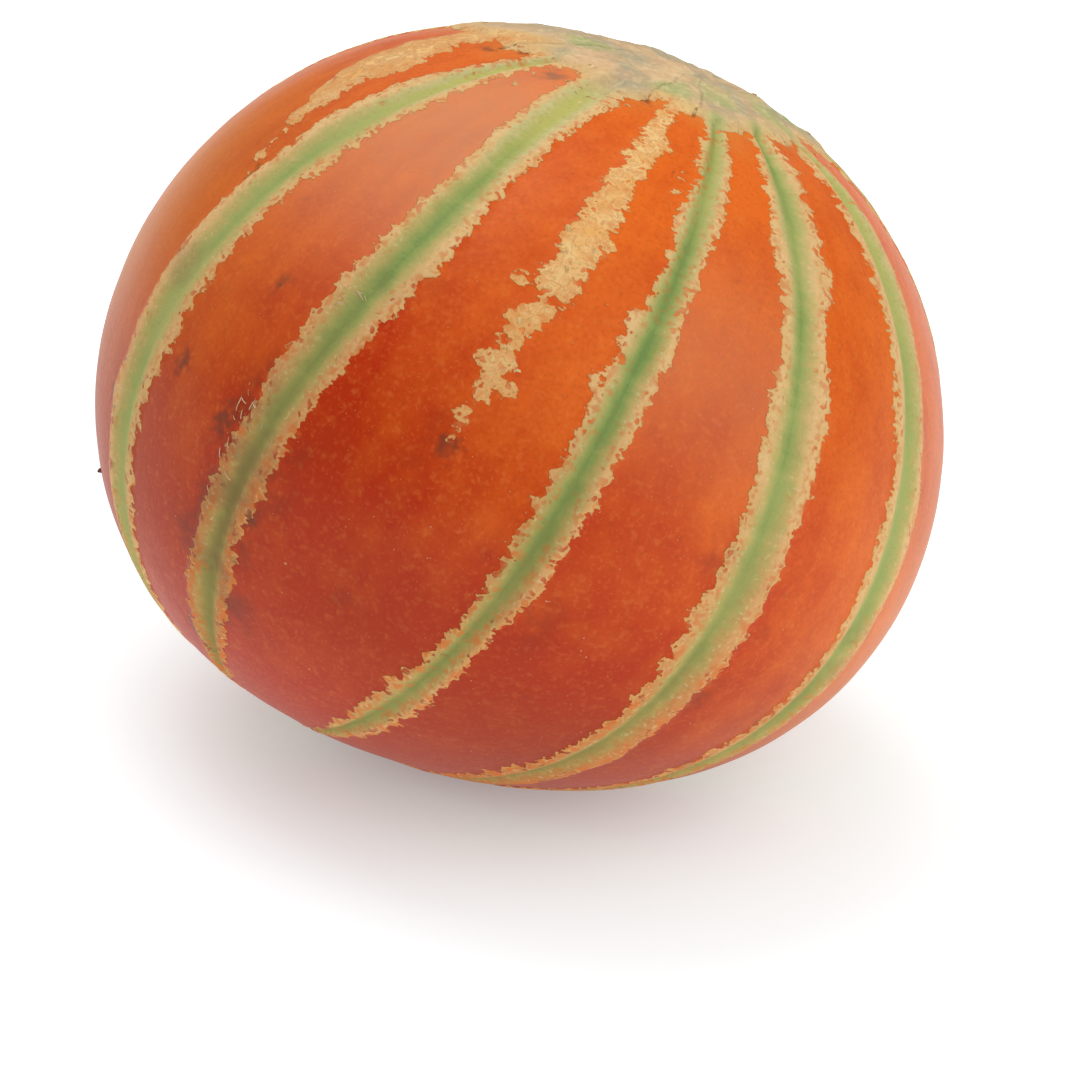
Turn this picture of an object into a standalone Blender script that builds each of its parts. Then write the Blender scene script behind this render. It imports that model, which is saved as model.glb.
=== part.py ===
"""A whole muskmelon: a slightly flattened round fruit with sunken green seams, corky seam edges,
cream streaks, a raised corky crown at one end and a small stalk scar at the other. It lies on a
small flat spot. Metres, +Z up, with the origin under its middle at the height of the flat spot.
"""

import math

import bmesh
import bpy
from mathutils import Matrix, Vector, noise

# Body: an ellipsoid whose short axis leans towards +X
WIDTH = 0.130
THICKNESS = 0.1121
SHORT_AXIS_LEAN = math.radians(7.1)

# Uneven fullness, seen from the side that the fruit shows: three gentle corners and four gentler ones
OUTLINE_TILT = math.radians(24.0)
OUTLINE_TURN = math.radians(6.0)
THREE_CORNERS = 0.0123
FIRST_OF_THREE = math.radians(76.3)
FOUR_CORNERS = 0.0085
FIRST_OF_FOUR = math.radians(33.3)

# The two ends where the seams meet, measured from the middle of the body
CROWN_END = Vector((0.0212, 0.0172, 0.0506))
STALK_END = Vector((-0.0318, -0.0107, -0.0471))

# Green seams, in degrees round the axis from the side facing -Y: half the seam's width, its place
# at the waist, how far it drifts by the crown, and how far it bows. The corky edges lie inside
# that width.
GREEN_SEAMS = (
    (5.6, -60.2, 3.4, 7.0),
    (4.7, -31.6, -1.0, -2.0),
    (3.4, 4.6, 0.0, 1.0),
    (4.6, 29.7, -10.5, 6.5),
    (4.4, 53.0, 0.8, 4.0),
    (4.6, 85.0, 4.0, 1.0),
    (4.2, 112.0, -2.0, 3.0),
    (4.8, 143.0, 1.0, -2.0),
    (4.0, 172.0, 3.0, 1.0),
    (4.7, 200.0, -3.0, 2.0),
    (4.3, 226.0, 1.0, -3.0),
    (4.8, 252.0, -6.0, 0.0),
)
SEAM_DEPTH = 0.0006
SEAM_EDGE_RISE = 0.0003
SEAM_FLOOR = 0.42
SEAM_EDGE = 0.76
SEAM_EDGE_SPREAD = 0.17
SEAM_COLUMNS = (-1.0, -SEAM_EDGE, -0.36, 0.0, 0.36, SEAM_EDGE, 1.0)
SEAMS_FADE_WITHIN = 0.024

# Cream streaks between the seams, in the same way, each with its lowest latitude first
CREAM_STREAKS = (
    (2.0, 3.4, -11.0, 0.0, 0.0),
    (22.0, 4.0, -63.0, -35.0, 0.0),
    (12.0, 3.2, 98.5, -6.0, 2.0),
    (-8.0, 3.6, 158.0, 4.0, 0.0),
    (18.0, 3.0, 213.0, 2.0, -3.0),
)
STREAK_RISE = 0.00025

# Crown: a raised corky cap whose edge runs higher on one side, with a low ring round its middle
CROWN_EDGE = 60.5
CROWN_EDGE_SWAY = 9.5
CROWN_EDGE_HIGHEST = math.radians(45.0)
CROWN_EDGE_RAGGED = 5.0
CROWN_STEP = 3.0
CROWN_FLATTENING = 0.0011
CROWN_FLAT_RADIUS = 0.026
CROWN_RISE = 0.0006
CROWN_NET_RISE = 0.0005
CROWN_NET_SIZE = 0.0055
CROWN_RING_RADIUS = 0.0095
CROWN_RING_WIDTH = 0.0024
CROWN_RING_RISE = 0.0006
CROWN_DISH_DEPTH = 0.0005

# Stalk scar: a shallow round dimple with a rim
SCAR_RADIUS = 0.0046
SCAR_DEPTH = 0.0013
SCAR_RIM_RADIUS = 0.0066
SCAR_RIM_WIDTH = 0.0018
SCAR_RIM_RISE = 0.0006

# The flat spot that the fruit lies on, cut this far above its lowest point
REST_CUT = 0.0010
REST_SMOOTH_RADIUS = 0.020

# Rows of the surface, in degrees of latitude: first row, last row, and how many steps between them
STALK_ROWS = (-86.0, -72.0, 4)
BODY_ROWS = (-72.0, 58.0, 29)
CROWN_ROWS = (58.0, 86.0, 10)
FINE_ROWS = (-73.0, 77.0)
GAP_COLUMN_SPACING = 5.0

SKIN = 0
GREEN = 1
CORK = 2

AXIS = (CROWN_END - STALK_END).normalized()
HEART = (CROWN_END + STALK_END) / 2
AHEAD = (Vector((0, -1, 0)) + AXIS * AXIS.y).normalized()
ASIDE = AXIS.cross(AHEAD)


def squeeze_matrix():
    """Turns the ellipsoid into a unit ball."""
    short = Vector((math.sin(SHORT_AXIS_LEAN), 0, math.cos(SHORT_AXIS_LEAN)))
    long = Vector((math.cos(SHORT_AXIS_LEAN), 0, -math.sin(SHORT_AXIS_LEAN)))
    deep = Vector((0, 1, 0))
    return Matrix((long * 2 / WIDTH, deep * 2 / WIDTH, short * 2 / THICKNESS))


SQUEEZE = squeeze_matrix()


def outline_directions():
    """Two directions square to the way the shown side faces."""
    up = Vector((0, math.sin(OUTLINE_TILT), math.cos(OUTLINE_TILT)))
    across = Vector((1, 0, 0))
    turned_across = across * math.cos(OUTLINE_TURN) + up * math.sin(OUTLINE_TURN)
    turned_up = up * math.cos(OUTLINE_TURN) - across * math.sin(OUTLINE_TURN)
    return turned_across, turned_up


OUTLINE_ACROSS, OUTLINE_UP = outline_directions()


def fullness(direction):
    """How much further out than the ellipsoid the body reaches in a direction, as a factor."""
    across = direction.dot(OUTLINE_ACROSS)
    up = direction.dot(OUTLINE_UP)
    reach = math.hypot(across, up)
    turn = math.atan2(up, across)
    three = THREE_CORNERS * reach**3 * math.cos(3 * (turn - FIRST_OF_THREE))
    four = FOUR_CORNERS * reach**4 * math.cos(4 * (turn - FIRST_OF_FOUR))
    return 1 + three + four


def smooth_step(low, high, value):
    share = min(max((value - low) / (high - low), 0.0), 1.0)
    return share * share * (3 - 2 * share)


def bump(value, middle, spread):
    """A bell of height 1 at the middle."""
    return math.exp(-(((value - middle) / spread) ** 2))


def body_point(azimuth, latitude):
    """A point of the body without its relief, for an azimuth and a latitude round the seam axis."""
    outward = AHEAD * math.cos(azimuth) + ASIDE * math.sin(azimuth)
    ray = outward * math.cos(latitude) + AXIS * math.sin(latitude)
    start = SQUEEZE @ HEART
    step = SQUEEZE @ ray
    along = step.dot(start)
    reach = math.sqrt(along**2 - step.length_squared * (start.length_squared - 1)) - along
    point = HEART + ray * reach / step.length_squared
    return point * fullness(point.normalized())


def outward_at(point):
    return (SQUEEZE.transposed() @ (SQUEEZE @ point)).normalized()


def degrees_apart(first, second):
    """Signed angle from the second azimuth to the first, between -180 and 180."""
    return (first - second + 180.0) % 360.0 - 180.0


def line_place(waist, drift, bow, latitude):
    """Azimuth of a seam or streak at a latitude, all in degrees."""
    rise = latitude / 90.0
    return waist + drift * rise + bow * rise**2


def seam_relief(azimuth, latitude, point):
    """Sunken seam floors between raised corky edges."""
    rise = 0.0
    for half_width, *line in GREEN_SEAMS:
        across = degrees_apart(azimuth, line_place(*line, latitude)) / half_width
        if abs(across) > 2:
            continue
        ragged = 1 + 0.6 * noise.noise(point * 260)
        rise -= SEAM_DEPTH * bump(across, 0.0, SEAM_FLOOR)
        rise += SEAM_EDGE_RISE * bump(abs(across), SEAM_EDGE, SEAM_EDGE_SPREAD) * ragged
    return rise


def streak_strength(azimuth, latitude):
    """1 on a cream streak, 0 off it."""
    strength = 0.0
    for lowest, half_width, *line in CREAM_STREAKS:
        across = degrees_apart(azimuth, line_place(*line, latitude)) / half_width
        length = smooth_step(lowest - 4.0, lowest + 8.0, latitude)
        strength = max(strength, length * bump(across, 0.0, 0.8))
    return strength


def crown_strength(azimuth, latitude, point):
    """1 on the corky crown, 0 off it."""
    sway = CROWN_EDGE_SWAY * math.cos(math.radians(azimuth) - CROWN_EDGE_HIGHEST)
    ragged = CROWN_EDGE_RAGGED * noise.noise(point * 150)
    edge = CROWN_EDGE + sway + ragged
    return smooth_step(edge, edge + CROWN_STEP, latitude)


def crown_relief(azimuth, latitude, point):
    """The raised cap on the flattened end, its coarse net, and the low ring round its middle."""
    radius = (point - CROWN_END).length
    flattening = CROWN_FLATTENING * bump(radius, 0.0, CROWN_FLAT_RADIUS)
    net = abs(noise.noise(point / CROWN_NET_SIZE)) - 0.25
    cap = crown_strength(azimuth, latitude, point) * (CROWN_RISE - CROWN_NET_RISE * net)
    ring = CROWN_RING_RISE * bump(radius, CROWN_RING_RADIUS, CROWN_RING_WIDTH)
    dish = CROWN_DISH_DEPTH * bump(radius, 0.0, CROWN_RING_RADIUS)
    return cap + ring - dish - flattening


def scar_relief(point):
    """The stalk scar: a dimple and its rim."""
    radius = (point - STALK_END).length
    rim = SCAR_RIM_RISE * bump(radius, SCAR_RIM_RADIUS, SCAR_RIM_WIDTH)
    return rim - SCAR_DEPTH * bump(radius, 0.0, SCAR_RADIUS)


def lowest_point():
    """Where the body without relief is lowest, which is where it lies."""
    down = Vector((0, 0, -1))
    across = SQUEEZE.inverted() @ (SQUEEZE.transposed().inverted() @ down).normalized()
    return across * fullness(across.normalized())


LYING_POINT = lowest_point()


def skin_point(azimuth, latitude):
    """A finished point of the surface, for an azimuth and a latitude in degrees."""
    point = body_point(math.radians(azimuth), math.radians(latitude))
    from_axis = (point - HEART).cross(AXIS).length
    seams = seam_relief(azimuth, latitude, point) * smooth_step(0, SEAMS_FADE_WITHIN, from_axis)
    seams *= 1 - crown_strength(azimuth, latitude, point)
    streaks = STREAK_RISE * streak_strength(azimuth, latitude)
    relief = seams + streaks + crown_relief(azimuth, latitude, point) + scar_relief(point)
    worn = smooth_step(REST_SMOOTH_RADIUS / 2, REST_SMOOTH_RADIUS, (point - LYING_POINT).length)
    return point + outward_at(point) * relief * worn


def face_finish(azimuth, latitude, point):
    """Which material a face of the surface takes."""
    if crown_strength(azimuth, latitude, point) > 0.5:
        return CORK
    for half_width, *line in GREEN_SEAMS:
        across = abs(degrees_apart(azimuth, line_place(*line, latitude)) / half_width)
        if across < SEAM_EDGE:
            return GREEN
        if across < 1.0:
            return CORK
    return CORK if streak_strength(azimuth, latitude) > 0.4 else SKIN


def columns_at(latitude, fine):
    """Azimuths of the columns on one row, which follow the seams; wide gaps get columns between."""
    azimuths = []
    count = len(GREEN_SEAMS)
    for index, (half_width, waist, drift, bow) in enumerate(GREEN_SEAMS):
        middle = line_place(waist, drift, bow, latitude)
        offsets = SEAM_COLUMNS if fine else (-1.0, 0.0, 1.0)
        azimuths += [middle + offset * half_width for offset in offsets]
        if not fine:
            continue
        next_half_width, next_waist, *next_run = GREEN_SEAMS[(index + 1) % count]
        waist_gap = degrees_apart(next_waist - next_half_width, waist + half_width)
        start = middle + half_width
        next_start = line_place(next_waist, *next_run, latitude) - next_half_width
        gap = degrees_apart(next_start, start)
        steps = math.ceil(waist_gap / GAP_COLUMN_SPACING)
        azimuths += [start + gap * step / steps for step in range(1, steps)]
    return azimuths


def coarse_places():
    """Which of a fine row's columns a coarse row keeps."""
    places = []
    fine = columns_at(0.0, True)
    for azimuth in columns_at(0.0, False):
        places.append(min(range(len(fine)), key=lambda place: abs(fine[place] - azimuth)))
    return places


def latitudes():
    rows = []
    for first, last, steps in (STALK_ROWS, BODY_ROWS, CROWN_ROWS):
        rows += [first + (last - first) * step / steps for step in range(steps)]
    return rows + [CROWN_ROWS[1]]


def add_strip(bm, lower, upper, lower_fine, upper_fine, kept):
    """Faces between two rows. Where one row is coarser, a face spans several columns of the other."""
    faces = []
    if lower_fine == upper_fine:
        count = len(lower)
        for place in range(count):
            after = (place + 1) % count
            faces.append(bm.faces.new((lower[place], lower[after], upper[after], upper[place])))
        return faces
    fine = lower if lower_fine else upper
    coarse = upper if lower_fine else lower
    for place, start in enumerate(kept):
        after = (place + 1) % len(kept)
        span = (kept[after] - start) % len(fine)
        edge = [fine[(start + step) % len(fine)] for step in range(span + 1)]
        ring = edge + [coarse[after], coarse[place]]
        faces.append(bm.faces.new(ring if lower_fine else ring[::-1]))
    return faces


def surface_mesh():
    """The whole surface as rows from the stalk scar to the crown, closed by a fan at each end."""
    bm = bmesh.new()
    kept = coarse_places()
    rows = []
    for latitude in latitudes():
        fine = FINE_ROWS[0] < latitude < FINE_ROWS[1]
        verts = [bm.verts.new(skin_point(azimuth, latitude)) for azimuth in columns_at(latitude, fine)]
        rows.append((latitude, fine, verts))
    for (_, lower_fine, lower), (_, upper_fine, upper) in zip(rows, rows[1:]):
        add_strip(bm, lower, upper, lower_fine, upper_fine, kept)
    for latitude, ring in ((-90.0, rows[0][2]), (90.0, rows[-1][2])):
        tip = bm.verts.new(skin_point(0.0, latitude))
        for place, vert in enumerate(ring):
            after = ring[(place + 1) % len(ring)]
            bm.faces.new((vert, after, tip) if latitude > 0 else (after, vert, tip))
    return bm


def paint_faces(bm):
    """Gives each face its material from where its middle lies."""
    for face in bm.faces:
        middle = face.calc_center_median()
        across = middle - HEART
        azimuth = math.degrees(math.atan2(across.dot(ASIDE), across.dot(AHEAD)))
        latitude = math.degrees(math.asin(across.normalized().dot(AXIS)))
        face.material_index = face_finish(azimuth, latitude, middle)


def cut_flat_spot(bm):
    """Cuts the flat spot and sets the fruit down on it, with the origin under its middle."""
    height = min(vert.co.z for vert in bm.verts) + REST_CUT
    bmesh.ops.bisect_plane(
        bm,
        geom=bm.verts[:] + bm.edges[:] + bm.faces[:],
        plane_co=(0, 0, height),
        plane_no=(0, 0, -1),
        clear_outer=True,
    )
    rim = [edge for edge in bm.edges if edge.is_boundary]
    flat = bmesh.ops.edgeloop_fill(bm, edges=rim)["faces"]
    for face in flat:
        face.smooth = False
    middle_x = (min(v.co.x for v in bm.verts) + max(v.co.x for v in bm.verts)) / 2
    middle_y = (min(v.co.y for v in bm.verts) + max(v.co.y for v in bm.verts)) / 2
    bmesh.ops.translate(bm, verts=bm.verts[:], vec=(-middle_x, -middle_y, -height))


def finish_material(name, colour, roughness):
    material = bpy.data.materials.new(name)
    material.use_nodes = True
    shader = material.node_tree.nodes["Principled BSDF"]
    shader.inputs["Base Color"].default_value = (*colour, 1)
    shader.inputs["Roughness"].default_value = roughness
    shader.inputs["Metallic"].default_value = 0
    material.diffuse_color = (*colour, 1)
    return material


def make_muskmelon():
    mesh = bpy.data.meshes.new("muskmelon")
    mesh.materials.append(finish_material("orange_skin", (0.62, 0.085, 0.015), 0.42))
    mesh.materials.append(finish_material("green_seam", (0.27, 0.31, 0.09), 0.6))
    mesh.materials.append(finish_material("cream_cork", (0.66, 0.45, 0.22), 0.8))
    bm = surface_mesh()
    for face in bm.faces:
        face.smooth = True
    paint_faces(bm)
    cut_flat_spot(bm)
    bmesh.ops.recalc_face_normals(bm, faces=bm.faces[:])
    bmesh.ops.triangulate(bm, faces=bm.faces[:])
    bm.to_mesh(mesh)
    bm.free()
    melon = bpy.data.objects.new("muskmelon", mesh)
    bpy.context.scene.collection.objects.link(melon)
    return melon


for old in list(bpy.data.objects):
    bpy.data.objects.remove(old)
make_muskmelon()
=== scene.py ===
import math
import random

import bpy
import numpy as np
from mathutils import Matrix, Vector, noise


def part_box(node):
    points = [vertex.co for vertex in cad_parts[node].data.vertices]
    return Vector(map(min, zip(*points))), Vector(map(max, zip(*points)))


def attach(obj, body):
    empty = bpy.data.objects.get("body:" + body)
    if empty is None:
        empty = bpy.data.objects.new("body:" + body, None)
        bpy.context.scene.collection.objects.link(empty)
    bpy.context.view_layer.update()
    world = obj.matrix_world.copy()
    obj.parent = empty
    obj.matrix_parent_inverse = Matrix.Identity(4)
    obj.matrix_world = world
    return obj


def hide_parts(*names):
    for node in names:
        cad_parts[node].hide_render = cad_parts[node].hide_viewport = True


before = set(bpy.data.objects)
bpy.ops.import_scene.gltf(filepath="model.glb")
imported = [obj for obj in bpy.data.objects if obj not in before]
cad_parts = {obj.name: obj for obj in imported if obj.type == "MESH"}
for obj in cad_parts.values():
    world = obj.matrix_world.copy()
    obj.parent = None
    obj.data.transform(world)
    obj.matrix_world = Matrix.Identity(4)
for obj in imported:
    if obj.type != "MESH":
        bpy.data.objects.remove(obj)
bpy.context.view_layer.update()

# The body, in metres: the same ellipsoid and fullness as the solid's. All places are measured from
# the ellipsoid's middle, which lies at BODY_MIDDLE in the frame
WIDTH = 0.130
THICKNESS = 0.1121
SHORT_AXIS_LEAN = math.radians(7.1)
OUTLINE_TILT = math.radians(24.0)
OUTLINE_TURN = math.radians(6.0)
THREE_CORNERS = 0.0123
FIRST_OF_THREE = math.radians(76.3)
FOUR_CORNERS = 0.0085
FIRST_OF_FOUR = math.radians(33.3)
BODY_MIDDLE = np.array((0.00015, -0.00008, 0.05452))
CROWN_END = np.array((0.0212, 0.0172, 0.0506))
STALK_END = np.array((-0.0318, -0.0107, -0.0471))

# Green seams: half width, place at the waist, drift by the crown and bow, all in degrees
GREEN_SEAMS = (
    (5.6, -60.2, 3.4, 7.0),
    (4.7, -31.6, -1.0, -2.0),
    (3.4, 4.6, 0.0, 1.0),
    (4.6, 29.7, -10.5, 6.5),
    (4.4, 53.0, 0.8, 4.0),
    (4.6, 85.0, 4.0, 1.0),
    (4.2, 112.0, -2.0, 3.0),
    (4.8, 143.0, 1.0, -2.0),
    (4.0, 172.0, 3.0, 1.0),
    (4.7, 200.0, -3.0, 2.0),
    (4.3, 226.0, 1.0, -3.0),
    (4.8, 252.0, -6.0, 0.0),
)
SEAM_DEPTH = 0.0006
SEAM_EDGE_RISE = 0.0003
SEAMS_FADE_WITHIN = 0.024
SEAM_HOLLOW_SPREAD = 0.42

# Cream streaks: lowest latitude, half width, place at the waist, drift and bow, all in degrees
CREAM_STREAKS = (
    (2.0, 3.8, -11.0, 0.0, 0.0),
    (14.0, 8.2, -62.0, -35.0, 0.0),
    (12.0, 3.2, 98.5, -6.0, 2.0),
    (-8.0, 3.6, 158.0, 4.0, 0.0),
    (18.0, 3.0, 213.0, 2.0, -3.0),
)
STREAK_RISE = 0.00025

# The corky crown: its edge in degrees, and its forms in metres
CROWN_EDGE = 60.5
CROWN_EDGE_SWAY = 9.5
CROWN_EDGE_HIGHEST = math.radians(45.0)
CROWN_EDGE_RAGGED = 5.0
CROWN_EDGE_WAVE = 1 / 150
CROWN_EDGE_LOWEST = 38.0
CROWN_STEP = 3.0
CROWN_FLATTENING = 0.0011
CROWN_FLAT_RADIUS = 0.026
CROWN_RISE = 0.0006
CROWN_NET_RISE = 0.0003
CROWN_NET_SIZE = 0.0055
CROWN_NET_MIDDLE = 0.25
CROWN_GRAIN_RISE = 0.00015
CROWN_GRAIN_SIZE = 0.0022
CROWN_RING_RADIUS = 0.0095
CROWN_RING_WIDTH = 0.0024
CROWN_RING_RISE = 0.0006
CROWN_DISH_DEPTH = 0.0005

# The stalk scar at the other end, and the shallow dimples all over, in metres
SCAR_RADIUS = 0.0046
SCAR_DEPTH = 0.0013
SCAR_RIM_RADIUS = 0.0066
SCAR_RIM_WIDTH = 0.0018
SCAR_RIM_RISE = 0.0006
SCAR_CORK_RADIUS_MM = 8.5
DIMPLE_RISE = 0.00007
DIMPLE_SIZE = 0.009

# Fineness of the skin's mesh: columns round the axis, rows between the ends
COLUMNS = 432
ROWS = 230
SEAM_COLUMN_DENSITY = 2.3
CROWN_ROW_DENSITY = 2.0
REST_SMOOTH_RADIUS = 0.020

# Each seam's deep green middle: width as a share of its half width, place off centre, how far the
# seam wanders from side to side in degrees, and how much wider it gets by the crown
CREASES = (
    (0.20, 0.05, 0.3, -0.25), (0.20, 0.0, 1.2, 0.75), (0.26, -0.10, -0.4, 0.35),
    (0.12, -0.05, 0.3, 0.45), (0.16, 0.10, -0.3, 0.55), (0.26, 0.05, 0.6, 0.3),
    (0.20, -0.06, -0.5, 0.4), (0.26, 0.04, 0.4, 0.2), (0.16, 0.0, 0.7, 0.5),
    (0.24, 0.08, -0.6, 0.3), (0.18, -0.05, 0.5, 0.4), (0.26, 0.0, -0.4, 0.2),
)
SEAM_WANDER_PERIOD = 100.0
LOW_SEAM_NARROWING = 0.26
# Each seam's tone: how much greener it is, how far it turns brown and narrow low down, and how
# pale its head is by the crown
SEAM_TONES = (
    (-0.60, 0.30, 1.25), (0.05, 1.0, 1.30), (0.15, 0.80, 0.45), (-0.05, 1.15, 0.30),
    (-0.30, 0.80, 0.7), (0.1, 0.6, 0.9), (0.0, 0.8, 0.6), (-0.2, 0.5, 1.1),
    (0.2, 0.9, 0.5), (0.0, 0.6, 0.9), (-0.3, 0.7, 0.7), (0.1, 0.8, 1.0),
)

# Blurred green patches on the crown: azimuth, latitude and spread in degrees
MOSS_PATCHES = (
    (-16.0, 71.5, 5.0), (9.5, 76.0, 5.0), (4.0, 66.0, 4.0), (28.0, 68.0, 4.5), (57.0, 77.0, 5.5),
    (50.0, 68.0, 4.0), (-33.0, 56.5, 4.0), (100.0, 74.0, 4.5), (-75.0, 70.0, 4.0), (175.0, 66.0, 5.0),
    (-130.0, 60.0, 4.5),
)
# Dark dried marks beside the crown, and the ripest, reddest parts of the skin, in the same way
DARK_MARKS = (
    (-69.5, 53.0, 1.8), (-64.0, 58.0, 1.8), (-46.0, 56.5, 2.2), (-21.0, 63.5, 1.6),
    (130.0, 55.0, 2.6), (-66.0, -27.0, 3.0), (-39.0, -17.0, 2.6), (-33.0, -53.0, 4.5),
    (-28.5, -26.0, 1.8), (-10.5, -2.0, 2.0), (-51.0, -15.0, 2.2), (-43.0, 2.0, 1.8),
    (200.0, -40.0, 4.0),
)
RIPEST = ((-22.0, -10.0, 22.0), (150.0, 10.0, 34.0), (-140.0, -25.0, 26.0), (24.0, -24.0, 31.0))

# A painted sheen, a pale highlight painted on two ribs: the seams that it lies between, its
# latitude and spread in degrees, and its strength
PAINTED_SHEEN_PLACES = ((0, 1, 40.0, 26.0, 1.0), (2, 3, 24.0, 15.0, 0.45))
# Painted rim light on the flanks either side of the front: azimuth, latitude and spread in degrees
PAINTED_RIM_LIGHT_PLACES = ((-94.0, -4.0, 32.0), (88.0, -4.0, 32.0))

# Flaps of thin cork that reach out from the crown over a seam's head: azimuth, spread and reach in
# degrees
CORK_FLAPS = ((-32.5, 7.5, 6.5), (4.0, 5.0, 1.5), (140.0, 9.0, 4.0), (205.0, 8.0, 3.0))

# Small islands of cork beside the lines: azimuth and latitude in degrees, radius in millimetres
CORK_ISLANDS = (
    (-10.5, -1.0, 1.2), (-11.4, 1.5, 1.3), (-11.3, 5.0, 1.2), (-8.6, 8.0, 0.7), (-15.2, 21.0, 0.7),
    (1.4, 24.0, 1.3), (0.2, 15.5, 1.6), (0.4, 20.0, 0.9), (25.4, 50.0, 1.0),
    (-1.8, 49.0, 0.8), (-0.6, 46.0, 0.8), (-0.2, 51.5, 0.5),
    (120.0, 22.0, 1.6), (164.0, 30.0, 1.3), (210.0, 8.0, 1.7), (240.0, 34.0, 1.2),
)

# Loose bits: hairs by the seams and scraps of cracked cork, both in groups given as azimuth,
# latitude and spread in degrees and a count, and one dried stub, given as azimuth and latitude
HAIR_LENGTH = 0.0020
HAIR_THICKNESS = 0.00017
HAIR_TUFTS = ((-36.3, -14.0, 1.2, 9), (-37.0, -22.0, 1.2, 5), (-33.0, 6.0, 1.2, 4), (140.0, 4.0, 1.4, 8))
SCRAP_SIZE = 0.0017
SCRAP_WIDTH_SHARE = 0.62
SCRAP_THICKNESS = 0.00012
SCRAP_PATCHES = (
    (-33.0, 57.5, 2.0, 9), (-26.0, 59.5, 2.5, 7), (-50.0, 57.0, 3.0, 5), (72.0, 70.0, 3.0, 5),
    (-11.0, 28.0, 1.8, 7), (-11.0, 12.0, 1.6, 5), (110.0, 66.0, 6.0, 8), (170.0, 58.0, 7.0, 9),
    (230.0, 58.0, 7.0, 9), (159.0, 18.0, 2.0, 6),
)
STUB_RADIUS = 0.00045
STUB_PLACE = (-80.5, -43.5)

# The axis from the stalk end to the crown, the place halfway, and where azimuths 0 and 90 point
AXIS = (CROWN_END - STALK_END) / np.linalg.norm(CROWN_END - STALK_END)
HEART = (CROWN_END + STALK_END) / 2
AHEAD = np.array((0.0, -1.0, 0.0)) + AXIS * AXIS[1]
AHEAD = AHEAD / np.linalg.norm(AHEAD)
ASIDE = np.cross(AXIS, AHEAD)


# The body's form, as functions of whole arrays of points

def squeeze_matrix():
    """Turns the ellipsoid into a unit ball."""
    sine, cosine = math.sin(SHORT_AXIS_LEAN), math.cos(SHORT_AXIS_LEAN)
    rows = ((cosine, 0, -sine), (0, 1, 0), (sine, 0, cosine))
    reach = np.array((WIDTH, WIDTH, THICKNESS)) / 2
    return np.array(rows) / reach[:, None]


SQUEEZE = squeeze_matrix()


def fullness(directions):
    """How much further out than the ellipsoid the body reaches in each direction, as a factor."""
    up = np.array((0, math.sin(OUTLINE_TILT), math.cos(OUTLINE_TILT)))
    across = np.array((1.0, 0, 0))
    turned_across = across * math.cos(OUTLINE_TURN) + up * math.sin(OUTLINE_TURN)
    turned_up = up * math.cos(OUTLINE_TURN) - across * math.sin(OUTLINE_TURN)
    x, y = directions @ turned_across, directions @ turned_up
    reach, turn = np.hypot(x, y), np.arctan2(y, x)
    three = THREE_CORNERS * reach**3 * np.cos(3 * (turn - FIRST_OF_THREE))
    four = FOUR_CORNERS * reach**4 * np.cos(4 * (turn - FIRST_OF_FOUR))
    return 1 + three + four


def body_points(azimuth, latitude):
    """Points of the body without relief, for azimuths and latitudes in degrees."""
    azimuth, latitude = np.radians(azimuth), np.radians(latitude)
    outward = np.cos(azimuth)[:, None] * AHEAD + np.sin(azimuth)[:, None] * ASIDE
    ray = np.cos(latitude)[:, None] * outward + np.sin(latitude)[:, None] * AXIS
    start = SQUEEZE @ HEART
    step = ray @ SQUEEZE.T
    along = step @ start
    square = (step**2).sum(1)
    reach = (np.sqrt(along**2 - square * (start @ start - 1)) - along) / square
    points = HEART + ray * reach[:, None]
    return points * fullness(points / np.linalg.norm(points, axis=1)[:, None])[:, None]


def outward_at(points):
    """Outward directions of the body at points of its surface."""
    normals = points @ SQUEEZE.T @ SQUEEZE
    return normals / np.linalg.norm(normals, axis=1)[:, None]


def lowest_point():
    """Where the body without relief is lowest, which is where it lies."""
    turned = np.linalg.inv(SQUEEZE.T) @ np.array((0, 0, -1.0))
    lowest = np.linalg.inv(SQUEEZE) @ (turned / np.linalg.norm(turned))
    return lowest * fullness((lowest / np.linalg.norm(lowest))[None])[0]


def smooth_step(low, high, value):
    """0 at low, 1 at high, smooth between; low may be the larger."""
    share = np.clip((value - low) / (high - low), 0.0, 1.0)
    return share * share * (3 - 2 * share)


def bump(value, middle, spread):
    """1 at the middle, falling off on both sides over the spread."""
    return np.exp(-(((value - middle) / spread) ** 2))


def solid_noise(points, size):
    """The same noise as in the solid, for the crown's edge and net; only worked out near the crown."""
    return np.array([noise.noise(Vector(point) / size) for point in points])


def soft_noise(points, size, seed, octaves=1):
    """Smooth noise between about -1 and 1 with features of about one size, in metres."""
    total, weight = np.zeros(len(points)), 1.0
    for octave in range(octaves):
        place = points / size * 2**octave + (seed + octave) * 17.31
        corner = np.floor(place).astype(np.int64)
        share = place - corner
        share = share * share * (3 - 2 * share)
        for step in np.ndindex(2, 2, 2):
            key = (corner + step) @ np.array((73856093, 19349663, 83492791))
            key = ((key ^ (key >> 13)) * 1274126177) & 0x7FFFFFFF
            near = np.where(np.array(step) > 0, share, 1 - share).prod(1)
            total += weight * near * ((key ^ (key >> 15)) % 65536 / 32768 - 1)
        weight *= 0.5
    return total


def degrees_apart(first, second):
    """Signed angle from the second azimuth to the first, the short way round."""
    return (first - second + 180.0) % 360.0 - 180.0


def line_place(waist, drift, bow, latitude):
    """Azimuth of a line's middle at a latitude, in degrees."""
    rise = latitude / 90.0
    return waist + drift * rise + bow * rise**2


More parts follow.
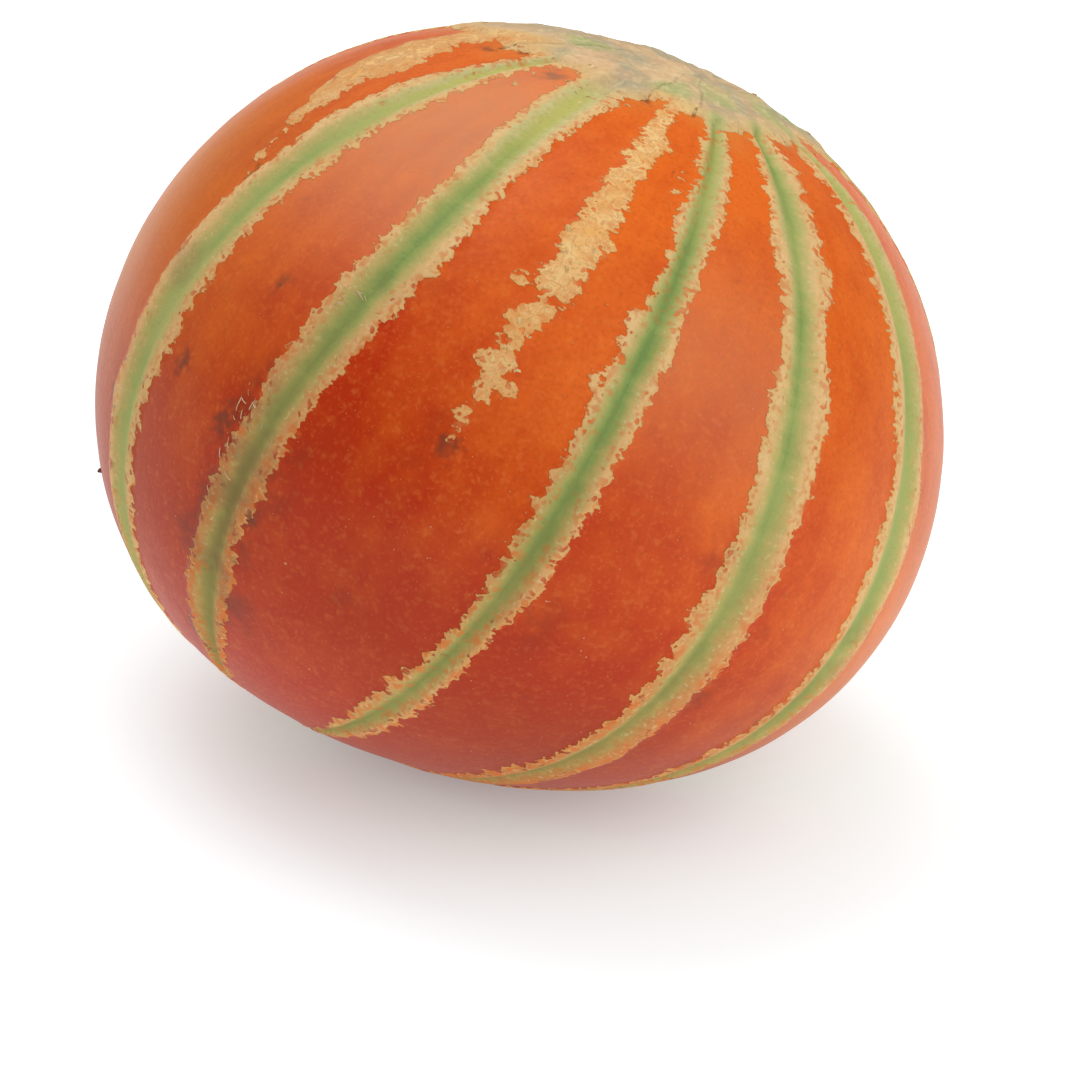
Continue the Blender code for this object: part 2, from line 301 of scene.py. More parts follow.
def follow_seams(waist_azimuth, latitude):
    """Azimuths of columns on one row: columns keep their place between the drifting seams."""
    knots, moves = [], []
    for half_width, waist, drift, bow in GREEN_SEAMS:
        knots += [waist - half_width, waist + half_width]
        moves += [line_place(0.0, drift, bow, latitude)] * 2
    knots = [knots[-1] - 360.0] + knots + [knots[0] + 360.0]
    moves = [moves[-1]] + moves + [moves[0]]
    first = knots[0]
    wrapped = (waist_azimuth - first) % 360.0 + first
    return wrapped + np.interp(wrapped, knots, moves)


def nearest_seam(waist_azimuth):
    """Signed distance across the nearest green seam in half widths, and that seam's number."""
    across = np.full(len(waist_azimuth), 9.0)
    number = np.zeros(len(waist_azimuth), int)
    for index, (half_width, waist, _, _) in enumerate(GREEN_SEAMS):
        this = degrees_apart(waist_azimuth, waist) / half_width
        nearer = np.abs(this) < np.abs(across)
        across[nearer] = this[nearer]
        number[nearer] = index
    return across, number


def nearest_streak(azimuth, latitude, from_axis):
    """Millimetres inside the nearest cream streak, millimetres across it, and its number."""
    inside = np.full(len(azimuth), -30.0)
    sideways = np.zeros(len(azimuth))
    number = np.zeros(len(azimuth), int)
    for index, (lowest, half_width, *line) in enumerate(CREAM_STREAKS):
        across = degrees_apart(azimuth, line_place(*line, latitude))
        taper = 0.12 * smooth_step(lowest - 8.0, lowest + 4.0, latitude)
        taper += 0.40 * smooth_step(lowest, lowest + 18.0, latitude)
        taper += 0.44 * smooth_step(lowest + 10.0, lowest + 30.0, latitude)
        taper += 0.40 * smooth_step(lowest + 36.0, lowest + 58.0, latitude)
        this = np.radians(half_width * taper - np.abs(across)) * from_axis * 1000
        this = this - 0.12 * np.maximum(0.0, lowest - latitude)
        nearer = this > inside
        inside[nearer] = this[nearer]
        sideways[nearer] = (np.radians(across) * from_axis * 1000)[nearer]
        number[nearer] = index
    return inside, sideways, number


def crown_distance(azimuth, latitude, points):
    """Degrees inside the corky crown's edge; negative outside."""
    sway = CROWN_EDGE_SWAY * np.cos(np.radians(azimuth) - CROWN_EDGE_HIGHEST)
    ragged = np.zeros(len(points))
    near = latitude > CROWN_EDGE_LOWEST
    ragged[near] = CROWN_EDGE_RAGGED * solid_noise(points[near], CROWN_EDGE_WAVE)
    return latitude - (CROWN_EDGE + sway + ragged)


def spots(azimuth, latitude, places):
    """How much each point lies in one of the round spots, 0 to 1."""
    share = np.zeros(len(azimuth))
    for middle_azimuth, middle_latitude, spread in places:
        across = degrees_apart(azimuth, middle_azimuth) * np.cos(np.radians(latitude))
        share = np.maximum(share, bump(np.hypot(across, latitude - middle_latitude), 0.0, spread))
    return share


def inside_islands(points):
    """Millimetres inside the nearest small island of cork."""
    inside = np.full(len(points), -30.0)
    for azimuth, latitude, radius in CORK_ISLANDS:
        middle = body_points(np.array([azimuth]), np.array([latitude]))[0]
        inside = np.maximum(inside, radius - np.linalg.norm(points - middle, axis=1) * 1000)
    return inside


def spread_columns():
    """Azimuths of the mesh's columns at the waist, closer together on the seams."""
    places = np.linspace(0.0, 360.0, 7201)
    across, _ = nearest_seam(places)
    density = 1 + (SEAM_COLUMN_DENSITY - 1) * (1 - smooth_step(1.2, 1.8, np.abs(across)))
    total = np.concatenate(([0.0], np.cumsum((density[1:] + density[:-1]) / 2)))
    return np.interp(np.arange(COLUMNS) / COLUMNS, total / total[-1], places)


def spread_rows():
    """Latitudes of the mesh's rows from the crown down, closer together on the crown."""
    places = np.linspace(90.0, -90.0, 3601)
    density = 1 + (CROWN_ROW_DENSITY - 1) * smooth_step(46.0, 56.0, places)
    density += (CROWN_ROW_DENSITY - 1) * smooth_step(-72.0, -80.0, places)
    total = np.concatenate(([0.0], np.cumsum((density[1:] + density[:-1]) / 2)))
    return np.interp(np.arange(ROWS + 1) / ROWS, total / total[-1], places)


class Skin:
    """The skin's points, and what its relief and its finish follow.

    Names with "inside" are millimetres inward from a torn edge of cork, below zero on bare skin.
    """

    def __init__(self, waist_azimuth, latitude):
        self.waist_azimuth = waist_azimuth
        self.latitude = latitude
        self.azimuth = np.empty(len(latitude))
        for row in np.unique(latitude):
            here = latitude == row
            self.azimuth[here] = follow_seams(waist_azimuth[here], row)
        self.points = body_points(self.azimuth, latitude)
        self.from_axis = np.linalg.norm(np.cross(self.points - HEART, AXIS), axis=1)
        self.crown = crown_distance(self.azimuth, latitude, self.points)
        self.find_seams()
        self.tear_cork()

    def noise(self, size, seed, octaves=1):
        return soft_noise(self.points, size, seed, octaves)

    def find_seams(self):
        """The nearest green seam of each point, its tones, and how far across it the point is."""
        across, self.seam_number = nearest_seam(self.waist_azimuth)
        self.crease_width, off_centre, wander, wider = np.array(CREASES)[self.seam_number].T
        self.greener, browner, self.paler = np.array(SEAM_TONES)[self.seam_number].T
        degrees_half = np.array([seam[0] for seam in GREEN_SEAMS])[self.seam_number]
        swing = np.sin(2 * np.pi * self.latitude / SEAM_WANDER_PERIOD)
        across = across - wander / degrees_half * swing
        self.low = browner * smooth_step(24, -26, self.latitude) * (0.85 + 0.3 * self.noise(0.02, 16))
        browned = np.minimum(self.low, 0.9)
        widening = 1 + wider * smooth_step(30.0, 58.0, self.latitude)
        widening -= LOW_SEAM_NARROWING * browned * smooth_step(-44.0, -18.0, self.latitude)
        self.across = across / widening
        self.from_crease = self.across - off_centre
        self.half_widths = np.radians(degrees_half * widening) * self.from_axis * 1000

    def tear_cork(self):
        """How far each point lies inside the torn edge of each kind of cork."""
        sway = 0.7 * self.noise(0.012, 1) + 0.5 * self.noise(0.0042, 2)
        tufts = 1.8 * np.maximum(0.0, self.noise(0.0085, 3) - 0.30)
        torn = self.noise(0.0050, 15, 2)
        torn *= 0.9 + 1.0 * smooth_step(50, 10, self.latitude)
        holes = smooth_step(0.05, 0.55, self.noise(0.0034, 19))

        self.seam_inside = (1 - np.abs(self.across)) * self.half_widths
        self.seam_inside += (sway + tufts) * smooth_step(0.004, 0.02, self.from_axis)
        nearest = nearest_streak(self.azimuth, self.latitude, self.from_axis)
        streak_inside, self.streak_sideways, self.streak_number = nearest
        self.streak_inside = streak_inside + 1.3 * sway + 0.3 * tufts + torn
        self.streak_inside -= 1.6 * holes * smooth_step(36, 6, self.latitude)
        self.island_inside = inside_islands(self.points) + 0.8 * torn
        self.flapped_crown = self.crown.copy()
        for middle, spread, reach in CORK_FLAPS:
            self.flapped_crown += reach * bump(degrees_apart(self.azimuth, middle), 0.0, spread)
        self.on_seam = self.seam_inside > self.streak_inside
        self.line_inside = np.where(self.on_seam, self.seam_inside, self.streak_inside)
        self.scar_radius = np.linalg.norm(self.points - STALK_END, axis=1)
        ragged_scar = SCAR_CORK_RADIUS_MM + 1.5 * self.noise(0.005, 8)
        self.scar_inside = ragged_scar - self.scar_radius * 1000

    def crown_relief(self, on_crown):
        """The crown's raised net of cork, and the ring and dish on it."""
        radius = np.linalg.norm(self.points - CROWN_END, axis=1)
        capped = on_crown > 0
        net = np.zeros(len(self.points))
        net[capped] = np.abs(solid_noise(self.points[capped], CROWN_NET_SIZE)) - CROWN_NET_MIDDLE
        cap = on_crown * (CROWN_RISE - CROWN_NET_RISE * net)
        cap += on_crown * CROWN_GRAIN_RISE * self.noise(CROWN_GRAIN_SIZE, 4, 2)
        cap += CROWN_RING_RISE * bump(radius, CROWN_RING_RADIUS, CROWN_RING_WIDTH)
        cap -= CROWN_DISH_DEPTH * bump(radius, 0.0, CROWN_RING_RADIUS)
        cap -= CROWN_FLATTENING * bump(radius, 0.0, CROWN_FLAT_RADIUS)
        return cap

    def relief(self):
        """How far the finished skin stands out from the body, in metres."""
        on_crown = smooth_step(0.0, CROWN_STEP, self.crown)
        beside_crease = smooth_step(0.15, 0.6, np.abs(self.across))
        seams = -SEAM_DEPTH * bump(self.across, 0.0, SEAM_HOLLOW_SPREAD)
        seams += SEAM_EDGE_RISE * smooth_step(-0.5, 1.1, self.seam_inside) * beside_crease
        seams *= smooth_step(0, SEAMS_FADE_WITHIN, self.from_axis) * (1 - on_crown)
        cream_inside = np.maximum(self.streak_inside, self.island_inside)
        streaks = STREAK_RISE * smooth_step(-0.6, 1.0, cream_inside)
        cap = self.crown_relief(on_crown)
        scar = SCAR_RIM_RISE * bump(self.scar_radius, SCAR_RIM_RADIUS, SCAR_RIM_WIDTH)
        scar -= SCAR_DEPTH * bump(self.scar_radius, 0.0, SCAR_RADIUS)
        dimples = DIMPLE_RISE * self.noise(DIMPLE_SIZE, 5, 2)
        from_rest = np.linalg.norm(self.points - lowest_point(), axis=1)
        clear_of_rest = smooth_step(REST_SMOOTH_RADIUS / 2, REST_SMOOTH_RADIUS, from_rest)
        return (seams + streaks + cap + scar + dimples) * clear_of_rest

    def finished_points(self):
        return self.points + outward_at(self.points) * self.relief()[:, None] + BODY_MIDDLE

    def ripeness(self):
        """How red the skin is, 0 to 1: redder low down, towards one side and in the ripest parts; the
        steeper reddening low down is painted shade.
        """
        turn = np.radians(self.azimuth)
        ripeness = 0.42 - 0.55 * self.latitude / 90 - 0.12 * np.sin(turn)
        ripest = spots(self.azimuth, self.latitude, RIPEST)
        ripeness += 0.42 * ripest + 0.20 * self.noise(0.030, 6, 3)
        lengthways = np.stack((np.sin(turn), np.cos(turn), self.latitude / 420), 1)
        ripeness += 0.16 * soft_noise(lengthways, 0.055, 18, 2)
        # Painted shade: a deeper, darker red low down
        ripeness += 0.35 * smooth_step(-5.0, -45.0, self.latitude)
        return np.clip(ripeness, 0, 1)

    def painted_sheen(self):
        """Painted sheen: a pale highlight painted on some ribs, which ends at the seams beside them."""
        turn = degrees_apart(self.waist_azimuth, 0.0)
        painted_sheen = np.zeros(len(self.points))
        for first, second, middle, spread, strength in PAINTED_SHEEN_PLACES:
            between = (turn > GREEN_SEAMS[first][1]) * (turn < GREEN_SEAMS[second][1])
            painted_sheen += strength * bump(self.latitude, middle, spread) * between
        return painted_sheen

    def shade(self):
        """Painted shade: darker, browner skin low down, stronger on one side."""
        shade = smooth_step(14, -40, self.latitude) * (0.8 + 0.3 * self.noise(0.025, 17, 2))
        return shade * (0.70 + 0.30 * np.sin(np.radians(self.azimuth)))

    def smudge(self):
        """Dark smudges low down, beside the lines."""
        smudge = smooth_step(0.30, 0.9, self.noise(0.011, 11, 3)) * smooth_step(40, -45, self.latitude)
        return smudge * smooth_step(-7.0, -1.0, self.line_inside)

    def along_line(self):
        """Millimetres along each line, with a different start for each."""
        line_number = np.where(self.on_seam, self.seam_number, self.streak_number + 20)
        return np.radians(self.latitude) * 58 + 9 * line_number

    def worn(self):
        """How far a cream streak is worn thin, most on the second and low on the others."""
        streak_wear = 0.5 * smooth_step(36, -2, self.latitude)
        return np.where(self.on_seam, 0.0, np.where(self.streak_number == 1, 0.5, streak_wear))

    def fields(self):
        """What the finish reads at each point, by name."""
        azimuth, latitude = self.azimuth, self.latitude
        torn_inside = np.maximum(self.line_inside, self.island_inside)
        torn_inside = np.maximum(torn_inside, self.flapped_crown * 1.05)
        sideways = np.where(self.on_seam, self.across * self.half_widths, self.streak_sideways)
        vigour = self.noise(0.012, 10, 2) * 0.42 + 0.65 + self.greener
        return {
            "across": np.clip(self.from_crease, -3, 3),
            "crease": self.crease_width + 0.10 * self.noise(0.009, 7, 2),
            "inside": np.maximum(torn_inside, self.scar_inside),
            "sideways": sideways,
            "along": self.along_line(),
            "green": smooth_step(-0.6, 0.8, self.seam_inside - self.streak_inside),
            "crown": smooth_step(-3.0, 7.0, self.flapped_crown + 3 * self.noise(0.006, 9, 2)),
            "scar": smooth_step(-0.5, 1.5, self.scar_inside),
            "ripeness": self.ripeness(),
            "vigour": np.clip(vigour, 0, 1),
            "low": self.low,
            "head": smooth_step(20, 52, latitude) * self.paler,
            "worn": self.worn(),
            "shade": self.shade(),
            "smudge": self.smudge(),
            "mark": spots(azimuth, latitude, DARK_MARKS),
            "moss": spots(azimuth, latitude, MOSS_PATCHES) + 0.38 * self.noise(0.0034, 12, 3),
            "blotch": smooth_step(-0.5, 0.6, self.noise(0.0065, 14, 3)),
            "painted_sheen": self.painted_sheen(),
            "painted_rim_light": spots(azimuth, latitude, PAINTED_RIM_LIGHT_PLACES),
            "bleach": smooth_step(-6.0, 2.0, self.crown + 2.5 * self.noise(0.010, 13, 2)),
        }


# Modelling

def deselect_all():
    if bpy.context.mode != "OBJECT":
        bpy.ops.object.mode_set(mode="OBJECT")
    bpy.ops.object.select_all(action="DESELECT")


def get_points(piece):
    points = np.empty(len(piece.data.vertices) * 3, np.float32)
    piece.data.vertices.foreach_get("co", points)
    return points.reshape(-1, 3)


def make_skin():
    """The whole rind: a grid wrapped round the body along its seams, closed at the side and ends."""
    deselect_all()
    bpy.ops.mesh.primitive_grid_add(x_subdivisions=COLUMNS, y_subdivisions=ROWS, size=1.0)
    skin = bpy.context.active_object
    skin.name = "muskmelon_rind"
    sheet = get_points(skin) + 0.5
    columns = np.round(sheet[:, 0] * COLUMNS).astype(int) % COLUMNS
    rows = np.round((1 - sheet[:, 1]) * ROWS).astype(int)
    finished = Skin(spread_columns()[columns], spread_rows()[rows])
    points = finished.finished_points().astype(np.float32)
    skin.data.vertices.foreach_set("co", points.ravel())
    for name, values in finished.fields().items():
        attribute = skin.data.attributes.new(name, "FLOAT", "POINT")
        attribute.data.foreach_set("value", values.astype(np.float32))
    bpy.ops.object.mode_set(mode="EDIT")
    bpy.ops.mesh.select_all(action="SELECT")
    bpy.ops.mesh.remove_doubles(threshold=1e-6)
    bpy.ops.mesh.bisect(
        plane_co=(0, 0, 0),
        plane_no=(0, 0, 1),
        use_fill=True,
        clear_inner=True,
        clear_outer=False,
        threshold=1e-7,
    )
    bpy.ops.mesh.select_all(action="SELECT")
    bpy.ops.mesh.normals_make_consistent(inside=False)
    bpy.ops.object.mode_set(mode="OBJECT")
    bpy.ops.object.shade_smooth()
    return skin


def fit_inside(piece, low, high):
    """Shrinks a piece about the origin by a hair, or by what it takes to stay inside the box."""
    reach = np.abs(get_points(piece)).max(0)
    room = np.minimum(np.array(high), np.array((-low[0], -low[1], high[2])))
    factor = min(1.0, *(room / reach)) * 0.9999
    piece.data.transform(Matrix.Scale(factor, 4))


def on_rind(rind, azimuth, latitude):
    """The place on the finished rind, and its outward direction, for angles in degrees."""
    place = body_points(np.array([azimuth]), np.array([latitude]))[0] + BODY_MIDDLE
    _, spot, outward, _ = rind.closest_point_on_mesh(Vector(place))
    return spot, outward


def lay_copies(shape, name, rind, places):
    """Lays copies of one small shape on the rind: azimuth, latitude, turn and size of each."""
    copies = []
    for azimuth, latitude, turn, size in places:
        spot, outward = on_rind(rind, azimuth, latitude)
        copy = shape.copy()
        copy.data = shape.data.copy()
        bpy.context.scene.collection.objects.link(copy)
        upright = outward.to_track_quat("Z", "Y").to_matrix().to_4x4()
        turned = upright @ Matrix.Rotation(math.radians(turn), 4, "Z")
        copy.matrix_world = Matrix.Translation(spot) @ turned @ Matrix.Scale(size, 4)
        copies.append(copy)
    bpy.data.objects.remove(shape)
    deselect_all()
    for copy in copies:
        copy.select_set(True)
    bpy.context.view_layer.objects.active = copies[0]
    bpy.ops.object.join()
    bpy.ops.object.transform_apply(location=True, rotation=True, scale=True)
    copies[0].name = name
    return copies[0]


def make_hairs(rind):
    """Pale dry hairs of cork that stand up a little from the flank of one seam."""
    deselect_all()
    bpy.ops.curve.primitive_bezier_curve_add(radius=1.0)
    hair = bpy.context.active_object
    hair.data.bevel_depth = HAIR_THICKNESS / 2
    hair.data.bevel_resolution = 0
    hair.data.resolution_u = 6
    hair.data.use_fill_caps = True
    ends = hair.data.splines[0].bezier_points
    ends[0].co, ends[0].handle_left = (-HAIR_LENGTH / 2, 0, -0.0001), (-HAIR_LENGTH, 0, 0)
    ends[0].handle_right = (-HAIR_LENGTH / 5, 0.0003, 0.0005)
    ends[1].co, ends[1].handle_right = (HAIR_LENGTH / 2, 0, 0.0001), (HAIR_LENGTH, 0, 0)
    ends[1].handle_left = (HAIR_LENGTH / 5, 0.0001, 0.0006)
    bpy.ops.object.convert(target="MESH")
    draw = random.Random(11)
    places = []
    for middle_azimuth, middle_latitude, spread, count in HAIR_TUFTS:
        for _ in range(count):
            azimuth = draw.gauss(middle_azimuth, spread)
            latitude = draw.gauss(middle_latitude, spread * 1.3)
            places.append((azimuth, latitude, draw.gauss(-60.0, 38.0), draw.uniform(0.5, 1.2)))
    return lay_copies(bpy.context.active_object, "dry_hairs", rind, places)


def make_scraps(rind):
    """Small curled scraps where the cork has cracked at the crown's edge and along the streaks."""
    deselect_all()
    bpy.ops.mesh.primitive_grid_add(x_subdivisions=4, y_subdivisions=3, size=SCRAP_SIZE)
    scrap = bpy.context.active_object
    for vertex in scrap.data.vertices:
        x, y = vertex.co.x / SCRAP_SIZE, vertex.co.y / SCRAP_SIZE
        ragged = 1 + 0.35 * noise.noise(Vector((x * 3, y * 3, 0.5)))
        curl = 0.22 * (x + 0.3) ** 2 - 0.10 * y * y - 0.05
        vertex.co = Vector((x * ragged, y * SCRAP_WIDTH_SHARE * ragged, curl)) * SCRAP_SIZE
    solidify = scrap.modifiers.new("thickness", "SOLIDIFY")
    solidify.thickness = SCRAP_THICKNESS
    bpy.ops.object.modifier_apply(modifier="thickness")
    bpy.ops.object.shade_smooth_by_angle(angle=math.radians(40))
    draw = random.Random(23)
    places = []
    for middle_azimuth, middle_latitude, spread, count in SCRAP_PATCHES:
        for _ in range(count):
            azimuth = draw.gauss(middle_azimuth, spread * 1.4)
            latitude = draw.gauss(middle_latitude, spread)
            places.append((azimuth, latitude, draw.uniform(0, 360), draw.uniform(0.5, 1.1)))
    return lay_copies(scrap, "cork_scraps", rind, places)


def make_stub(rind):
    """The dark dried stub of a tendril at the side."""
    deselect_all()
    bpy.ops.mesh.primitive_uv_sphere_add(segments=16, ring_count=10, radius=STUB_RADIUS)
    stub = bpy.context.active_object
    for vertex in stub.data.vertices:
        lump = 1 + 0.4 * noise.noise(vertex.co / STUB_RADIUS * 1.3)
        vertex.co = Vector((vertex.co.x * lump, vertex.co.y * lump * 0.8, vertex.co.z * lump * 1.2))
    bpy.ops.object.shade_smooth()
    return lay_copies(stub, "dried_stub", rind, [(*STUB_PLACE, 20.0, 1.0)])


# Finishes

def rgb(red, green, blue):
    """A colour as a screen shows it, 0 to 255, turned to the shader's linear values."""
    linear = []
    for part in (red, green, blue):
        share = part / 255
        linear.append(share / 12.92 if share <= 0.04045 else ((share + 0.055) / 1.055) ** 2.4)
    return (*linear, 1.0)


class Value:
    """A shader socket that takes part in arithmetic: each operation adds a Math node."""

    def __init__(self, finish, socket):
        self.finish = finish
        self.socket = socket

    def maths(self, operation, first, second):
        return self.finish.add("ShaderNodeMath", {"operation": operation}, {0: first, 1: second})

    def __add__(self, other):
        return self.maths("ADD", self, other)

    def __radd__(self, other):
        return self.maths("ADD", other, self)

    def __sub__(self, other):
        return self.maths("SUBTRACT", self, other)

    def __rsub__(self, other):
        return self.maths("SUBTRACT", other, self)

    def __mul__(self, other):
        return self.maths("MULTIPLY", self, other)

    def __rmul__(self, other):
        return self.maths("MULTIPLY", other, self)

    def __abs__(self):
        return self.maths("ABSOLUTE", self, 0.0)


class Finish:
    """One material and short ways to build its nodes."""

    def __init__(self, name):
        self.material = bpy.data.materials.new(name)
        self.material.use_nodes = True
        self.nodes = self.material.node_tree.nodes
        self.links = self.material.node_tree.links
        self.shader = self.nodes["Principled BSDF"]
        self.place = self.add("ShaderNodeTexCoord", output="Object")

    def add(self, kind, settings=None, inputs=None, output=0):
        """Adds a node: its settings first, then the values or links of its sockets."""
        node = self.nodes.new(kind)
        for name, value in (settings or {}).items():
            setattr(node, name, value)
        for name, value in (inputs or {}).items():
            self.feed(node.inputs[name], value)
        return Value(self, node.outputs[output])

    def feed(self, socket, value):
        """Links a value to a socket, or sets the socket to a constant."""
        if isinstance(value, Value):
            self.links.new(value.socket, socket)
        else:
            socket.default_value = value

    def field(self, name):
        """One of the skin's fields, as the mesh carries it."""
        settings = {"attribute_type": "GEOMETRY", "attribute_name": name}
        return self.add("ShaderNodeAttribute", settings, output="Fac")

    def shifted(self, seed):
        """The place on the piece, moved so that noise there differs."""
        mapping = {"Vector": self.place, "Location": (seed, seed * 0.7, seed * 1.3)}
        return self.add("ShaderNodeMapping", {}, mapping)

    def grain(self, size, detail=1.0, seed=0.0, place=None):
        """Noise from 0 to 1 with features of about this size, in the unit of its place."""
        place = place or (self.shifted(seed) if seed else self.place)
        inputs = {"Vector": place, "Scale": 1 / size, "Detail": detail, "Roughness": 0.6}
        return self.add("ShaderNodeTexNoise", {}, inputs)

    def step(self, low, high, value):
        """0 below low, 1 above high, smooth between; low may be the larger."""
        inputs = {"Value": value, "From Min": low, "From Max": high}
        return self.add("ShaderNodeMapRange", {"interpolation_type": "SMOOTHSTEP"}, inputs)

    def mix(self, share, first, second):
        """Blends two colours."""
        settings = {"data_type": "RGBA", "blend_type": "MIX"}
        return self.add("ShaderNodeMix", settings, {0: share, 6: first, 7: second}, output=2)

    def coat(self, colour, *coats):
        """Lays coats over a colour, each given as its share and its own colour."""
        for share, over in coats:
            colour = self.mix(share, colour, over)
        return colour

    def blend(self, share, first, second):
        """Blends two numbers."""
        return self.add("ShaderNodeMix", {"data_type": "FLOAT"}, {0: share, 2: first, 3: second})

    def dress(self, colour, roughness, height, **constants):
        """Feeds the shader; the height is in millimetres, and constants go on their own sockets."""
        self.feed(self.shader.inputs["Base Color"], colour)
        self.feed(self.shader.inputs["Roughness"], roughness)
        relief = {"Strength": 1.0, "Distance": 0.001, "Height": height}
        self.feed(self.shader.inputs["Normal"], self.add("ShaderNodeBump", {}, relief))
        for name, value in constants.items():
            self.shader.inputs[name.replace("_", " ")].default_value = value
        return self.material


# The rind's colours

ORANGE = rgb(246, 114, 30)
RED = rgb(202, 52, 12)
DARK_GRAIN = rgb(160, 46, 16)
PALE_GRAIN = rgb(250, 156, 88)
ORANGE_GRAIN = rgb(240, 130, 56)
PALE_DOTS = rgb(240, 172, 124)
PAINTED_RIM_LIGHT_COLOUR = rgb(224, 142, 60)
SHADED_SKIN = rgb(138, 54, 24)
BLEACHED_SKIN = rgb(236, 140, 56)
SMUDGED_SKIN = rgb(118, 56, 36)
DRIED_SKIN = rgb(112, 62, 44)
PAINTED_SHEEN_COLOUR = rgb(232, 170, 124)

WEAK_GREEN = rgb(182, 186, 110)
SAGE_GREEN = rgb(136, 164, 88)
HEAD_GREEN = rgb(200, 194, 108)
LOW_GREEN = rgb(154, 138, 74)
CREASE_GREEN = rgb(104, 130, 72)
CREASE_BROWN = rgb(110, 98, 50)
SEAM_FLANK = rgb(206, 184, 114)
HEAD_FLANK = rgb(218, 206, 146)
LOW_FLANK = rgb(186, 144, 80)
FLANK_GRAIN = rgb(188, 184, 108)
TAN = rgb(226, 172, 106)
LIGHT_TAN = rgb(248, 212, 152)
LOW_TAN = rgb(186, 108, 54)
LOW_LIGHT_TAN = rgb(220, 160, 94)
LOW_EDGE = rgb(206, 126, 68)

CREAM = rgb(247, 184, 108)
LIGHT_CREAM = rgb(254, 212, 144)
CREAM_FLECKS = rgb(190, 140, 86)
CREAM_CURLS = rgb(206, 132, 70)
WORN_CREAM = rgb(214, 146, 92)

CORK_GRAIN = rgb(136, 104, 60)
CORK_PALE_GRAIN = rgb(246, 222, 176)
CORK_EDGE = rgb(240, 180, 104)
THIN_CORK = rgb(220, 112, 48)
SMUDGED_CORK = rgb(128, 88, 64)

GREY_CORK = rgb(192, 178, 144)
TAN_CORK = rgb(238, 202, 154)
PINKISH_CORK = rgb(224, 180, 138)
CROWN_EDGE_CORK = rgb(230, 202, 134)
CROWN_GREEN = rgb(182, 190, 124)
CROWN_PALE_GRAIN = rgb(246, 220, 172)
CROWN_DARK_GRAIN = rgb(168, 140, 102)
CROWN_CURLS = rgb(150, 112, 76)
CROWN_DRIED = rgb(132, 98, 72)
CROWN_FLECKS = rgb(148, 118, 82)
SCAR_BROWN = rgb(126, 96, 62)
SCAR_TAN = rgb(186, 150, 104)


